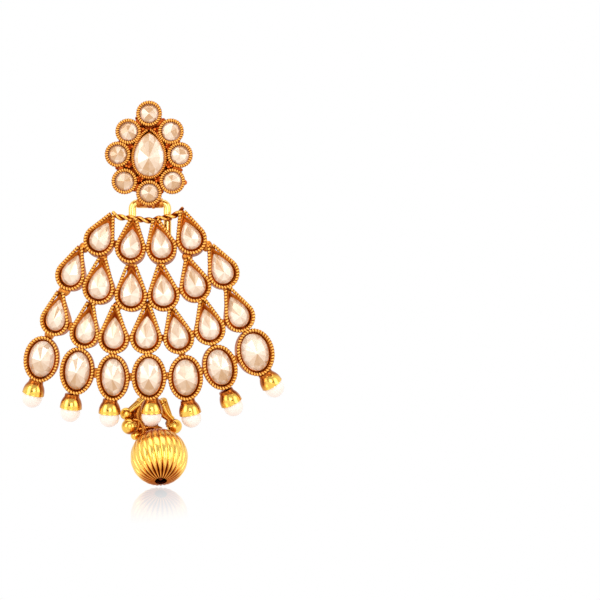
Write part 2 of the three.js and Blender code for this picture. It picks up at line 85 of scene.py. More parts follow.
class Nodes:
    """The nodes of one tree."""

    def __init__(self, tree):
        self.tree = tree

    def fill(self, socket, value):
        if isinstance(value, Signal):
            self.tree.links.new(value.socket, socket)
        else:
            socket.default_value = value

    def node(self, kind, settings=None, sockets=None, output=0):
        made = self.tree.nodes.new(kind)
        for name, value in (settings or {}).items():
            if name == "stops":
                made.color_ramp.elements.remove(made.color_ramp.elements[1])
                for i, (place, shade) in enumerate(value):
                    stop = made.color_ramp.elements[0] if i == 0 else made.color_ramp.elements.new(place)
                    stop.position = place
                    stop.color = (shade, shade, shade, 1)
            else:
                setattr(made, name, value)
        for key, value in (sockets or {}).items():
            self.fill(made.inputs[key], value)
        return Signal(self, made.outputs[output])

    def ramp(self, value, stops):
        return self.node("ShaderNodeValToRGB", {"stops": stops}, {0: value})

    def shown(self, kind, surface):
        """Makes a shader the tree's surface."""
        self.fill(self.tree.nodes[kind].inputs["Surface"], surface)


class Finish(Nodes):
    """A procedural material, built round one Principled shader."""

    def __init__(self, name, **constants):
        self.material = bpy.data.materials.new(name)
        self.material.use_nodes = True
        super().__init__(self.material.node_tree)
        for socket, value in constants.items():
            self.feed(socket.replace("_", " ").title().replace("Ior", "IOR"), value)

    def feed(self, socket, value):
        self.fill(self.tree.nodes["Principled BSDF"].inputs[socket], value)

    def mix(self, share, first, second):
        return self.node("ShaderNodeMix", {"data_type": "RGBA"}, {0: share, 6: first, 7: second}, output=2)

    def noise(self, size_mm, detail=2.0):
        """Cloudy variation from 0 to 1, with patches of about the given size."""
        place = self.node("ShaderNodeTexCoord", output=3)
        scale = 1 / (size_mm * MM)
        return self.node("ShaderNodeTexNoise", {}, {"Vector": place, "Scale": scale, "Detail": detail})

    def painted(self, name):
        """A value that the mesh carries at each point."""
        return self.node("ShaderNodeAttribute", {"attribute_name": name}, output=2)

    def bump(self, height, strength, depth_mm):
        self.feed("Normal", self.node(
            "ShaderNodeBump", {}, {"Strength": strength, "Distance": depth_mm * MM, "Height": height}))


def plated(name, bright, dark, smooth, worn):
    """Gold plating whose colour carries painted shade: bright where the painted shade is low, dark and then
    deep red-brown where it is high, with faint clouds and fine scratches.
    """
    finish = Finish(name, metallic=1.0)
    painted_shade = finish.painted("painted_shade")
    clouds = finish.noise(1.6, 3.0)
    grain = finish.noise(0.16)
    # depth is the point's painted shade, made a little cloudy.
    depth = painted_shade + clouds * 0.2 - 0.1
    warm = finish.mix(finish.ramp(depth, [(0.05, 0.0), (0.55, 1.0)]), (*bright, 1), (*dark, 1))
    deep = tuple(value * share for value, share in zip(dark, DEEP_SHADE_TINT))
    finish.feed("Base Color", finish.mix(finish.ramp(depth, [(0.5, 0.0), (0.95, 1.0)]), warm, (*deep, 1)))
    finish.feed("Roughness", smooth + grain * worn + painted_shade * 0.15)
    finish.bump(grain, 0.25, 0.02)
    return finish.material


# Gold whose dark red-brown hollows are painted shade.
antique_gold = plated("antique_gold", (0.95, 0.53, 0.12), (0.60, 0.16, 0.012), 0.24, 0.12)
# A darker, redder copy of the gold, used for solder and as painted shade on parts that lie deep in shadow.
solder_and_shade_gold = plated("solder_and_shade_gold", (0.74, 0.17, 0.02), (0.32, 0.04, 0.005), 0.3, 0.15)


def skin(rows, closed=False, caps=False):
    """A surface through rows of points, each row a ring; closed joins the last row to the first."""
    rows = np.asarray(rows, float)
    count, around = rows.shape[:2]
    index = np.arange(count * around).reshape(count, around)
    near = index if closed else index[:-1]
    far = np.roll(index, -1, axis=0) if closed else index[1:]
    quads = np.stack([near, np.roll(near, -1, axis=1), np.roll(far, -1, axis=1), far], axis=-1)
    faces = quads.reshape(-1, 4).tolist()
    if caps:
        faces += [index[0, ::-1].tolist(), index[-1].tolist()]
    return rows.reshape(-1, 3), faces


def part(shape, painted_shade=0.0):
    """A shape with how deep in shadow each of its points lies, from 0 to 1."""
    points, faces = shape
    return points, faces, np.broadcast_to(np.asarray(painted_shade, float), len(points))


def piece(name, parts, finish, body, stands_for=(), sharp=38):
    """Makes one named piece from its parts, which rides on one body of the frame."""
    points, faces, painted_shade = [], [], []
    first = 0
    for some_points, some_faces, some_painted_shade in parts:
        points.append(some_points)
        painted_shade.append(some_painted_shade)
        faces += [[first + corner for corner in face] for face in some_faces]
        first += len(some_points)
    mesh = bpy.data.meshes.new(name)
    mesh.from_pydata((np.concatenate(points) * MM).tolist(), [], faces)
    shape = bmesh.new()
    shape.from_mesh(mesh)
    bmesh.ops.recalc_face_normals(shape, faces=shape.faces)
    shape.to_mesh(mesh)
    shape.free()
    # Each point's painted shade, which the finishes read to darken their colour.
    depth = mesh.attributes.new("painted_shade", "FLOAT", "POINT")
    depth.data.foreach_set("value", np.concatenate(painted_shade).astype(np.float32))
    if sharp:
        mesh.shade_smooth()
        mesh.set_sharp_from_angle(angle=math.radians(sharp))
    mesh.materials.append(finish)
    made = bpy.data.objects.new(name, mesh)
    bpy.context.scene.collection.objects.link(made)
    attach(made, body)
    if stands_for:
        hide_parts(*stands_for)


def circle(radius, count, start=0.0):
    """Points round a circle, clockwise from its top, or from a start in radians."""
    turn = start + 2 * np.pi * np.arange(count) / count
    return np.stack([radius * np.sin(turn), radius * np.cos(turn)], axis=1)


def flat_on(place, outline, depth):
    """Points of a flat outline (across, up) at some depth behind a setting's front."""
    origin, across, back, up = place
    outline = np.asarray(outline, float)
    depth = np.broadcast_to(np.asarray(depth, float), len(outline))
    return origin + outline[:, :1] * across + depth[:, None] * back + outline[:, 1:] * up


UPRIGHT = (np.zeros(3), np.array([1.0, 0, 0]), np.array([0, 1.0, 0]), np.array([0, 0, 1.0]))
STUD_DEPTH = 2.5
PLATE = 0.5  # thick
FLOWER = [  # clockwise from the top: place, the turn of the stone's facets, and the side and level of its painted reflection's dark facets
    {"x": 0, "z": 7.3, "turned": 0, "tan": 0, "foil": 0.12},
    {"x": 3.9, "z": 4.1, "turned": 16, "tan": 90, "foil": -0.1},
    {"x": 5.5, "z": -0.1, "turned": 40, "tan": 30, "foil": -0.15},
    {"x": 4.15, "z": -4.8, "turned": 8, "tan": 150, "foil": -0.1},
    {"x": 0, "z": -6.9, "turned": -12, "tan": 180, "foil": 0.15},
    {"x": -4.4, "z": -4.8, "turned": 3, "tan": 240, "foil": 0.2},
    {"x": -5.6, "z": 0, "turned": 28, "tan": 270, "foil": 0.2},
    {"x": -3.7, "z": 4.1, "turned": -24, "tan": 315, "foil": 0.05},
]
plate_outline = [(round_one["x"], round_one["z"]) for round_one in FLOWER]
plate = skin([flat_on(UPRIGHT, plate_outline, -PLATE), flat_on(UPRIGHT, plate_outline, 0)], caps=True)
# The plate carries painted shade 0.5, dark and reddish.
piece("flower_plate", [part(plate, 0.5)], solder_and_shade_gold, "stud", ["stud_frame"])


# ---- Flower settings ----
# Eight round cups and a pear-shaped one in the middle, each a strip bent to shape with a flat bottom. A
# beaded wire is soldered round each mouth, and the strip's edge is rolled in over the stone.
WIRE_SIDES = 12
BEAD_STEPS = 8
BEAD_DEPTH = 0.36  # of the grooves between the beads, as a share of the wire's radius
STRAND_RADIUS, STRAND_SHIFT = 0.54, 0.46  # of one strand of a twist, as shares of the whole
OUTLINE_POINTS = 72
WALL_STEP = 0.25
ROUND_RADIUS = 2.36
ROUND_STONE = 1.62
FLOWER_WIRE = 0.36
FLOWER_BEAD = 0.42
# Painted shade added to the round cups' beaded wire.
ROUND_WIRE_SHADE = 0.15
PEAR = {"half_width": 3.22, "foot": -4.45, "tip": 4.75, "fullness": 0.4, "wire": 0.28, "bead": 0.36}
PEAR_STONE = {"half_width": 2.78, "foot": -3.9, "tip": 3.75}
# Painted shade added to the pear cup's beaded wire.
PEAR_WIRE_SHADE = 0.3


def spread(line, step, closed):
    """Points at even steps along a line, with the outward direction at each, clockwise round a shape."""
    line = np.asarray(line, float)
    if closed:
        line = np.vstack([line, line[:1]])
    along = np.concatenate([[0], np.cumsum(np.linalg.norm(np.diff(line, axis=0), axis=1))])
    count = max(8, round(along[-1] / step))
    places = np.linspace(0, along[-1], count, endpoint=not closed)
    points = np.stack([np.interp(places, along, line[:, i]) for i in (0, 1)], axis=1)
    if closed:
        heading = np.roll(points, -1, axis=0) - np.roll(points, 1, axis=0)
    else:
        heading = np.gradient(points, axis=0)
    heading /= np.linalg.norm(heading, axis=1)[:, None]
    return points, np.stack([-heading[:, 1], heading[:, 0]], axis=1), along[-1]


def tear_line(radius, tip, opening=0.0):
    """A teardrop, clockwise from its tip; the two legs end the given distance each side of the middle."""
    reach = math.hypot(opening, tip)
    start = math.atan2(opening, tip) + math.acos(radius / reach)
    turn = np.linspace(start, 2 * np.pi - start, 64)
    arc = np.stack([radius * np.sin(turn), radius * np.cos(turn)], axis=1)
    return np.vstack([[(opening, tip)], arc, [(-opening, tip)]])


def drop_line(half_width, bottom, top, fullness):
    """A pear outline, clockwise from its top; a lower fullness number is broader near the tip."""
    turn = 2 * np.pi * np.arange(OUTLINE_POINTS) / OUTLINE_POINTS
    across = np.sin(turn) * np.abs(np.sin(turn / 2)) ** fullness
    middle, half_height = (top + bottom) / 2, (top - bottom) / 2
    return np.stack([half_width * across / across.max(), middle + half_height * np.cos(turn)], axis=1)


def oval_line(half_width, half_height):
    turn = 2 * np.pi * np.arange(OUTLINE_POINTS) / OUTLINE_POINTS
    return np.stack([half_width * np.sin(turn), half_height * np.cos(turn)], axis=1)


def tube(path, radius, across, sides, closed=False):
    """A round wire along a path; across is any direction off the path, for one point or for each."""
    path = np.asarray(path, float)
    across = np.broadcast_to(np.asarray(across, float), path.shape)
    if closed:
        heading = np.roll(path, -1, axis=0) - np.roll(path, 1, axis=0)
    else:
        heading = np.gradient(path, axis=0)
    heading /= np.linalg.norm(heading, axis=1)[:, None]
    side = across - (across * heading).sum(1)[:, None] * heading
    side /= np.linalg.norm(side, axis=1)[:, None]
    other = np.cross(heading, side)
    ring = circle(1, sides)
    rows = path[:, None] + radius * (side[:, None] * ring[None, :, 1:] + other[:, None] * ring[None, :, :1])
    return skin(rows, closed, caps=not closed)


def twisted(path, out, back, radius, bump):
    """Two strands laid round each other; bump is the distance from one strand's crown to the next."""
    length = np.linalg.norm(np.diff(path, axis=0), axis=1).sum()
    turns = round(length / (2 * bump))
    share = np.arange(len(path)) / (len(path) - 1)
    parts = []
    for strand in (0, 1):
        turn = np.pi * strand - 2 * np.pi * turns * share
        across = np.cos(turn)[:, None] * out + np.sin(turn)[:, None] * back
        points, faces = tube(path + across * radius * STRAND_SHIFT, radius * STRAND_RADIUS, across, 10)
        reach = np.linalg.norm(points.reshape(len(path), -1, 3) - path[:, None], axis=2).ravel()
        # Painted shade, dark in the valley where the strands meet.
        parts.append(part((points, faces), np.clip(2.8 * (0.96 - reach / radius), 0, 1)))
    return parts


def beaded(path, out, back, radius, beads, closed):
    """A wire rolled into small slanting beads; out and back are directions off it at each point."""
    share = np.arange(len(path)) / (len(path) if closed else len(path) - 1)
    turn = 2 * np.pi * np.arange(WIRE_SIDES) / WIRE_SIDES
    proud = np.abs(np.cos(np.pi * (beads * share[:, None] + turn / (2 * np.pi)))) ** 0.7
    reach = radius * (1 - BEAD_DEPTH * (1 - proud))[..., None]
    off = np.cos(turn)[None, :, None] * out[:, None] + np.sin(turn)[None, :, None] * back[:, None]
    # Painted shade: dark in the grooves between the beads and on the wire's inner and outer flanks.
    shade = np.clip(1.45 - 1.75 * proud, 0, 0.9) + 0.4 * np.abs(np.cos(turn)) ** 4
    return part(skin(path[:, None] + reach * off, closed, caps=not closed), np.clip(shade, 0, 1).ravel())


def rim_wire(place, line, radius, bead, depth, closed, extra_shade=0.0):
    """A beaded wire along a flat line on a setting, its centre at some depth; the last number adds painted
    shade.
    """
    length = spread(line, 1.0, closed)[2]
    beads = round(length / bead)
    points, out, _ = spread(line, length / (beads * BEAD_STEPS), closed)
    out = out[:, :1] * place[1] + out[:, 1:] * place[3]
    back = np.broadcast_to(place[2], out.shape)
    points, faces, painted_shade = beaded(flat_on(place, points, depth), out, back, radius, beads, closed)
    return [(points, faces, np.clip(painted_shade + extra_shade, 0, 1))]


def wall(place, line, profile, closed):
    """A strip along a flat line; its profile is pairs of offset outwards and depth."""
    points, out, _ = spread(line, WALL_STEP, closed)
    rows = np.stack([flat_on(place, points + out * offset, depth) for offset, depth in profile], axis=1)
    return skin(rows, closed, caps=not closed)


def moved(x, z):
    """The place of an upright setting at some distance across and up."""
    return (np.array([x, 0, z], float), *UPRIGHT[1:])


flower_metal = []
for setting in FLOWER:
    here = moved(setting["x"], setting["z"])
    mouth = ROUND_RADIUS - FLOWER_WIRE
    edge = -STUD_DEPTH + FLOWER_WIRE
    flower_metal += rim_wire(here, oval_line(mouth, mouth), FLOWER_WIRE, FLOWER_BEAD, edge, True,
                             ROUND_WIRE_SHADE)
    cup = [(-0.02, edge), (-0.02, -0.1), (-0.5, -0.1), (-0.36, edge + 0.5)]
    # The cup's wall and the rolled lip carry painted shade.
    flower_metal.append(part(wall(here, oval_line(mouth, mouth), cup, True), 0.42))
    lip = [(0.4, edge + 0.5), (0.1, edge + 0.4), (0.1, edge + 0.22), (0.05, edge + 0.15), (0, edge + 0.5)]
    flower_metal.append(part(wall(here, oval_line(ROUND_STONE, ROUND_STONE), lip, True), 0.6))

inset = PEAR["wire"]
edge = -STUD_DEPTH + inset
pear_mouth = drop_line(
    PEAR["half_width"] - inset, PEAR["foot"] + inset, PEAR["tip"] - inset, PEAR["fullness"])
flower_metal += rim_wire(UPRIGHT, pear_mouth[2:-1], PEAR["wire"], PEAR["bead"], edge, False, PEAR_WIRE_SHADE)
cup = [(-0.02, edge), (-0.02, -0.1), (-0.4, -0.1), (-0.2, edge + 0.5)]
# The pear cup's wall and lip carry painted shade too.
flower_metal.append(part(wall(UPRIGHT, pear_mouth, cup, True), 0.6))
stone_edge = drop_line(PEAR_STONE["half_width"], PEAR_STONE["foot"], PEAR_STONE["tip"], PEAR["fullness"])
lip = [(0.12, edge + 0.3), (0.1, edge + 0.08), (0.02, edge + 0.05), (-0.04, edge + 0.15),
       (-0.04, edge + 0.5)]
flower_metal.append(part(wall(UPRIGHT, stone_edge, lip, True), 0.3))
piece("flower_settings", flower_metal, antique_gold, "stud", ["stud_frame"])


# ---- Solder of the flower ----
# Small runs of solder where the flower's cups meet, and one bead that stayed proud beside the lower right
# cup. They are left as they flowed, rounder than the wire; their redder colour is partly solder's and
# partly painted shade, darkest against the pear cup and at the outer edge.
CUP_RUN = (1.5, 1.1, 1.5)  # between two round cups
PEAR_RUN = (1.9, 1.3, 1.9)  # further in, against the pear cup
GRANULE = (0.52, 0.5, 0.52)
EDGE_GRAIN = (0.7, 0.7, 0.7)
PROUD_BEAD = (0.95, 0.95, 0.95)


def lump(centre, size, seed, rings=7, around=10):
    """A run of solder: an uneven rounded blob of the given size across, deep and high."""
    shaker = np.random.default_rng(seed)
    waves = shaker.uniform(0, 2 * np.pi, 2)
    rows = []
    for i in range(1, rings):
        tilt = np.pi * i / rings
        turn = 2 * np.pi * np.arange(around) / around
        swell = (1 + 0.13 * np.sin(2 * turn + waves[0]) * np.sin(tilt)
                 + 0.1 * np.sin(3 * turn + waves[1] + tilt))
        rows.append(np.stack([
            np.sin(tilt) * np.cos(turn) * swell, np.sin(tilt) * np.sin(turn) * swell,
            np.full(around, np.cos(tilt))], axis=1))
    points, faces = skin(rows, caps=True)
    return points * (np.asarray(size) / 2) + centre, faces


solder = []
for i, (first, second) in enumerate(zip(FLOWER, FLOWER[1:] + FLOWER[:1])):
    between = np.array([(first["x"] + second["x"]) / 2, -1.6, (first["z"] + second["z"]) / 2])
    # Painted shade: 0.3 between two cups, 0.6 against the pear cup, none on the granules and 0.5 on the
    # grains at the edge.
    solder.append(part(lump(between, CUP_RUN, 10 + i), 0.3))
    inward = between * np.array([0.74, 1.0, 0.74])
    solder.append(part(lump(inward + [0, 0.2, 0], PEAR_RUN, 30 + i), 0.6))
    for k in range(5):
        turn = 2 * math.pi * k / 5 + i
        grain = inward + np.array([0.48 * math.cos(turn), -0.42, 0.48 * math.sin(turn)])
        solder.append(part(lump(grain, GRANULE, 160 + 5 * i + k, 5, 8), 0.0))
    outward = between * np.array([1.08, 1.0, 1.08])
    for k, reach in enumerate((-0.45, 0.1, 0.5)):
        grain = outward + np.array([second["z"] - first["z"], 0, first["x"] - second["x"]]) * 0.04 * reach
        grain = grain + [0.35 * math.cos(3 * i + 2 * k), 0.25, 0.35 * math.sin(3 * i + 2 * k)]
        solder.append(part(lump(grain, EDGE_GRAIN, 120 + 3 * i + k), 0.5))
solder.append(part(lump((6.35, -1.75, -5.0), PROUD_BEAD, 7), 0.0))
piece("flower_solder", solder, solder_and_shade_gold, "stud")


# ---- Stones of the flower ----
# Champagne glass stones with a low faceted point, foiled gold-brown behind. The tan of some facets and the
# cream of others is a painted reflection, and a faint glow is painted light. The pear stone in the middle
# is cut the same way, with more small facets.
def champagne(name, light, deep):
    """Foiled glass: a polished surface whose colour is a painted reflection, tan or cream facet by facet,
    and which glows faintly in that colour as painted light.
    """
    # The faint glow in the stone's own colour is painted light.
    finish = Finish(name, metallic=0.2, coat_weight=1.0, coat_roughness=0.02, coat_ior=1.6,
                    emission_strength=0.06)
    tone = finish.painted("painted_shade")
    cloud = finish.noise(0.8, 2.0)
    colour = finish.mix(tone * 0.9 + cloud * 0.3 - 0.15, (*light, 1), (*deep, 1))
    finish.feed("Base Color", colour)
    finish.feed("Emission Color", colour)
    finish.feed("Roughness", 0.2 + cloud * 0.1)
    return finish.material


champagne_glass = champagne("champagne_glass", (0.95, 0.80, 0.65), (0.52, 0.27, 0.10))
BACK_DEPTH = 0.62  # of a stone's flat back behind its girdle
BAND = 0.12  # the height of the girdle
CROWN = {"inward": 0.72, "up": 0.42}  # where the small facets meet the main ones, as shares
# The painted shade of a stone's girdle band and back.
SIDE_TONE = 0.9


def cut_stone(place, girdle, depth, rise, seed, off=(0.0, 0.0), tan=0.0, other=1.0, facet_turn=0.0,
              base=0.0, contrast=1.0):
    """A faceted stone: a band at the girdle, small facets above it, and main facets up to a point.

    Its facets carry a painted reflection, darkest towards one side, tan, given in degrees clockwise from
    the top; other is how dark the side across from it is, beside that.
    """
    shaker = np.random.default_rng(seed)
    mains = len(girdle) // 2
    apex = np.asarray(off, float)
    crown = girdle[::2] * CROWN["inward"] + apex * (1 - CROWN["inward"])
    points = np.vstack([
        flat_on(place, girdle * 0.9, depth + BACK_DEPTH),
        flat_on(place, girdle, depth + BAND),
        flat_on(place, girdle, depth),
        flat_on(place, crown, depth - rise * CROWN["up"]),
        flat_on(place, [apex], depth - rise),
    ])
    n = len(girdle)
    faces, tones = [list(range(n))[::-1]], [SIDE_TONE]
    for level in (0, 1):
        for i in range(n):
            j = (i + 1) % n
            faces.append([level * n + i, level * n + j, (level + 1) * n + j, (level + 1) * n + i])
            tones.append(SIDE_TONE)
    for k in range(mains):
        here, after = 3 * n + k, 3 * n + (k + 1) % mains
        low, mid, high = 2 * n + 2 * k, 2 * n + 2 * k + 1, 2 * n + (2 * k + 2) % n
        middle_turn = 2 * np.pi * (k + 0.5) / mains + math.radians(facet_turn)
        lead = math.cos(middle_turn - math.radians(tan))
        upright = contrast * abs(lead) ** 1.6 * (1 if lead > 0 else other)
        faces += [[here, low, mid], [here, mid, after], [after, mid, high], [here, after, 3 * n + mains]]
        # Painted reflection: facets turned towards the tan side are darker.
        tones += list(np.clip(base + 0.22 + 0.35 * upright + shaker.uniform(-0.32, 0.4, 3), 0, 1))
        tones.append(float(np.clip(base + 0.12 + 0.6 * upright + shaker.uniform(-0.25, 0.22), 0, 1)))
    return points, faces, tones


def stones(name, cuts, body, stands_for):
    """Makes one piece of cut stones with a tone for each facet, so that each keeps its flat sides."""
    parts = []
    for points, faces, tones in cuts:
        for face, tone in zip(faces, tones):
            corners = points[face]
            parts.append((corners, [list(range(len(face)))], np.full(len(face), tone)))
    piece(name, parts, champagne_glass, body, stands_for, sharp=0)


round_cuts = []
for i, setting in enumerate(FLOWER):
    here = moved(setting["x"], setting["z"])
    girdle = circle(ROUND_STONE, 16, math.radians(setting["turned"]))
    round_cuts.append(cut_stone(
        here, girdle, depth=-2.02, rise=0.72, seed=50 + i, tan=setting["tan"], other=0.5,
        facet_turn=setting["turned"], base=setting["foil"] + 0.08, contrast=2.5))
stones("flower_stones", round_cuts, "stud", [])
GIRDLE_POINTS = 24


def outline_at(line, count):
    """Points at even steps round a closed line, as many as are asked for."""
    return spread(line, np.linalg.norm(np.diff(line, axis=0), axis=1).sum() / count, True)[0][:count]


pear_cut = cut_stone(UPRIGHT, outline_at(stone_edge, GIRDLE_POINTS), depth=-2.1, rise=1.25, seed=3,
                     off=(0, -0.7), tan=180, other=0.8, contrast=1.5)
stones("pear_stone", [pear_cut], "stud", ["centre_stone"])


# ---- Post and hinge tube ----
# A plain brass post soldered to the middle of the plate's back, rounded at its end to pass the ear. Below
# it a short piece of brass tube lies across the back of the lowest cup, for the drop's wire to turn in.
polished_gold = plated("polished_gold", (1.0, 0.70, 0.20), (0.60, 0.20, 0.03), 0.16, 0.08)


def lathe_ring(place, ring, height):
    origin, across, back, up = place
    return origin + ring[:, :1] * across + ring[:, 1:] * back + height * up


def turned(profile, place, sides, painted_shade=0.0):
    """A turned part: its profile is pairs of radius and height up the place's last axis."""
    rows = [lathe_ring(place, circle(radius, sides), height) for radius, height in profile]
    return part(skin(rows, caps=True), painted_shade)


BACKWARD = (np.zeros(3), np.array([1.0, 0, 0]), np.array([0, 0, -1.0]), np.array([0, 1.0, 0]))
POST_RADIUS = 0.4
POST_TIP = 0.6  # the length of its rounded end
POST_SIDES = 28
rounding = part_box("ear_post")[1].y / MM - POST_TIP
post = [(POST_RADIUS, -PLATE), (POST_RADIUS, rounding)]
post += [(POST_RADIUS * math.cos(a), rounding + POST_TIP * math.sin(a)) for a in np.linspace(0.2, 1.5, 7)]
collar = [(0.95, 0.0), (0.9, 0.12), (0.62, 0.28), (0.42, 0.5), (0.3, 0.5)]
# The collar carries a little painted shade.
piece("ear_post_visible", [turned(post, BACKWARD, POST_SIDES), turned(collar, BACKWARD, POST_SIDES, 0.3)],
      polished_gold, "stud", ["ear_post"])

HINGE = np.array([0, 1.0, -8.6])
TUBE = {"half_length": 2.3, "bore": 0.74, "end": 0.84, "radius": 0.9, "bevel": 0.08}
APRON_LUMP = (1.05, 1.0, 1.3)  # solder that hangs below the tube in an uneven edge
SIDEWAYS = (HINGE, np.array([0, 1.0, 0]), np.array([0, 0, 1.0]), np.array([1.0, 0, 0]))
half = TUBE["half_length"]
right_end = [(TUBE["radius"], half - TUBE["bevel"]), (TUBE["end"], half), (TUBE["bore"], half)]
tube_wall = [(radius, -height) for radius, height in right_end[::-1]] + right_end
rows = [lathe_ring(SIDEWAYS, circle(radius, 32), height) for radius, height in tube_wall]
# Painted shade: 0.2 on the tube, 0.4 on the solder and darker on every other lump of the apron.
hinge_parts = [part(skin(rows, closed=True), 0.2)]
hinge_parts.append(part(lump((0, 0.05, -8.25), (3.4, 1.5, 1.7), 91), 0.4))
for k, x in enumerate(np.linspace(-2.0, 2.0, 7)):
    low = 0.52 - 0.26 * abs(x - 0.5)
    hinge_parts.append(part(lump((x, -0.15, -8.58 - low), APRON_LUMP, 92 + k), 0.4 + 0.3 * (k % 2)))
piece("hinge_tube", hinge_parts, antique_gold, "stud", ["stud_frame"])


# ---- Hanger and twisted bar ----
# The drop hangs from a bow of smooth round wire whose top turns in the tube. Its legs go down behind a
# bar of two twisted strands and are soldered to it; the tips of the first row are soldered under the bar.
BOW = {"wire": 0.69, "half": 3.15, "corner": 1.0, "foot": -14.8, "foot_back": 0.75}


def bow_path():
    half, corner, foot = BOW["half"], BOW["corner"], BOW["foot"]
    shoulder = HINGE[2] - corner
    path = [(-half, z) for z in np.linspace(foot, shoulder, 14)[:-1]]
    for turn in np.linspace(0, np.pi / 2, 9):
        path.append((-half + corner * (1 - math.cos(turn)), shoulder + corner * math.sin(turn)))
    path += [(x, HINGE[2]) for x in np.linspace(-half + corner, 0, 8)[1:]]
    path += [(-x, z) for x, z in path[-2::-1]]
    lean = (HINGE[1] - BOW["foot_back"]) / (shoulder - foot)
    return np.array([(x, HINGE[1] - lean * max(0.0, shoulder - z), z) for x, z in path])


piece("hanger_bow", [part(tube(bow_path(), BOW["wire"], (0, 1, 0), 20), 0.0)], polished_gold, "drop",
      ["drop_frame"])

BAR = [  # from the left, across and up
    (-6.6, -10.58), (-5.3, -11.18), (-3, -11.38), (0, -11.78), (2, -11.38), (4.4, -10.88), (6.0, -9.78),
]
BAR_FRONT, BAR_CURVE = -0.75, 110  # where its middle is, and the length that sets how its ends curve back
BAR_RADIUS, BAR_CROWNS = 0.6, 1.55  # and the distance from one strand's crown to the next


def smooth_path(points, count):
    """A curve through points, evenly split."""
    points = np.asarray(points, float)
    ends = np.vstack([2 * points[0] - points[1], points, 2 * points[-1] - points[-2]])
    line = []
    for a, b, c, d in zip(ends, ends[1:], ends[2:], ends[3:]):
        for t in np.linspace(0, 1, 24, endpoint=False):
            line.append(0.5 * (2 * b + (c - a) * t + (2 * a - 5 * b + 4 * c - d) * t * t
                               + (3 * b - a - 3 * c + d) * t ** 3))
    line = np.array(line + [points[-1]])
    along = np.concatenate([[0], np.cumsum(np.linalg.norm(np.diff(line, axis=0), axis=1))])
    places = np.linspace(0, along[-1], count)
    return np.stack([np.interp(places, along, line[:, i]) for i in range(3)], axis=1)


bar_path = smooth_path([(x, x ** 2 / BAR_CURVE + BAR_FRONT, z) for x, z in BAR], 150)
sky = np.broadcast_to([0.0, 0.0, 1.0], bar_path.shape)
rear = np.broadcast_to([0.0, 1.0, 0.0], bar_path.shape)
bar_parts = twisted(bar_path, sky, rear, BAR_RADIUS, BAR_CROWNS)
# The solder at the bar's ends carries painted shade.
for side in (-1, 1):
    bar_parts.append(part(lump((side * BOW["half"], -0.1, -11.4), (1.7, 1.6, 1.1), 60 + side), 0.5))
piece("twisted_bar", bar_parts, antique_gold, "drop")


# ---- Settings of the panel ----
# Four rows of settings soldered edge to edge make the bell-shaped panel: three rows of teardrops and one
# of ovals. Each is a strip on edge with a twisted wire round its front. A teardrop's wire is open at the
# tip, where the two ends run up to the setting above; the stone lies in a rolled lip inside the strip.
RIM = 0.34
RIM_BEAD = 0.54
STRIP = {"outside": 0.16, "inside": 0.65, "front": 0.45, "depth": 2.4, "thick": 0.45}
STONE_INSET = 0.95
GIRDLES = {"tear": 1.2, "oval": 1.5}  # how far behind its point a plain stone's widest line lies
STONE_SUNK = 0.75  # how far behind the wire's front that line lies
LIP = [(0.36, 1.2), (0.12, 1.1), (0.12, 0.8), (0.06, 0.72), (-0.02, 0.76), (-0.04, 1.3)]  # over the stone
LIP_SHADE = 0.55


def stone_places():
    """Each panel stone's place, read from its plain solid: its frame, size and kind."""
    found = {}
    for name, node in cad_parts.items():
        kind = name.split("_stone_")[0]
        if kind not in ("tear", "oval"):
            continue
        points = np.array([tuple(vertex.co) for vertex in node.data.vertices]) / MM
        sums = {}
        for face in node.data.polygons:
            key = tuple(round(value, 2) for value in face.normal)
            sums[key] = sums.get(key, 0) + face.area
        back = np.array(max(sums, key=sums.get))
        back = back / np.linalg.norm(back)
        lead = points @ back
        apex = points[lead.argmin()]
        girdle_depth = GIRDLES[kind]
        ring = points[np.abs(lead - lead.min() - girdle_depth) < 0.05]
        from_middle = ring - apex - np.outer((ring - apex) @ back, back)
        reach = np.linalg.norm(from_middle, axis=1)
        if kind == "oval":
            from_middle = from_middle * np.where(from_middle[:, 2] > 0, 1, -1)[:, None]
        up = from_middle[reach.argmax()] / reach.max()
        place = (apex + (girdle_depth - STONE_SUNK) * back, np.cross(back, up), back, up)
        found[name] = {"kind": kind, "place": place, "small": reach.min() + STONE_INSET,
                       "long": reach.max() / reach.min() if kind == "tear" else reach.max() + STONE_INSET}
    return found


PANEL = stone_places()
OVAL_SLITS = {  # where an oval's lip and ledge stop short and the light comes through, degrees clockwise
    "oval_stone_1": [(135, 165)], "oval_stone_2": [(132, 156)], "oval_stone_3": [(118, 142)],
    "oval_stone_4": [(310, 332)], "oval_stone_5": [(54, 74)],
}
# For each row: how far down the strips' back edges bend, and how much painted shade darkens the teardrops'
# wire.
RAKE = {"tear_stone_1": 0.6, "tear_stone_2": 0.38, "tear_stone_3": 0.3, "oval_stone": 0.3}
TEAR_WIRE_SHADE = {"tear_stone_1": 0.14, "tear_stone_2": 0.1, "tear_stone_3": 0.06}
# Painted shade added to the ovals' wire.
OVAL_WIRE_SHADE = 0.1


def strip_wall(place, line, closed, rake):
    """The strip on edge, its back edge bent down a little; painted shade darkens it towards the bottom, and
    a little less towards the top.
    """
    front, rear, thick = STRIP["front"], STRIP["depth"], STRIP["thick"]
    profile = [(0.0, front), (0.0, rear), (-thick, rear), (-thick, 0.7), (-0.2, front)]
    points, faces = wall(place, line, profile, closed)
    depth = (points - place[0]) @ place[2]
    low = -(points - place[0]) @ place[3]
    points = points - np.outer(rake * np.clip(depth - front, 0, None) / rear, place[3])
    shade = 0.45 + np.where(low > 0, 0.33 * low / low.max(), 0.27 * low / low.min())
    return part((points, faces), shade)


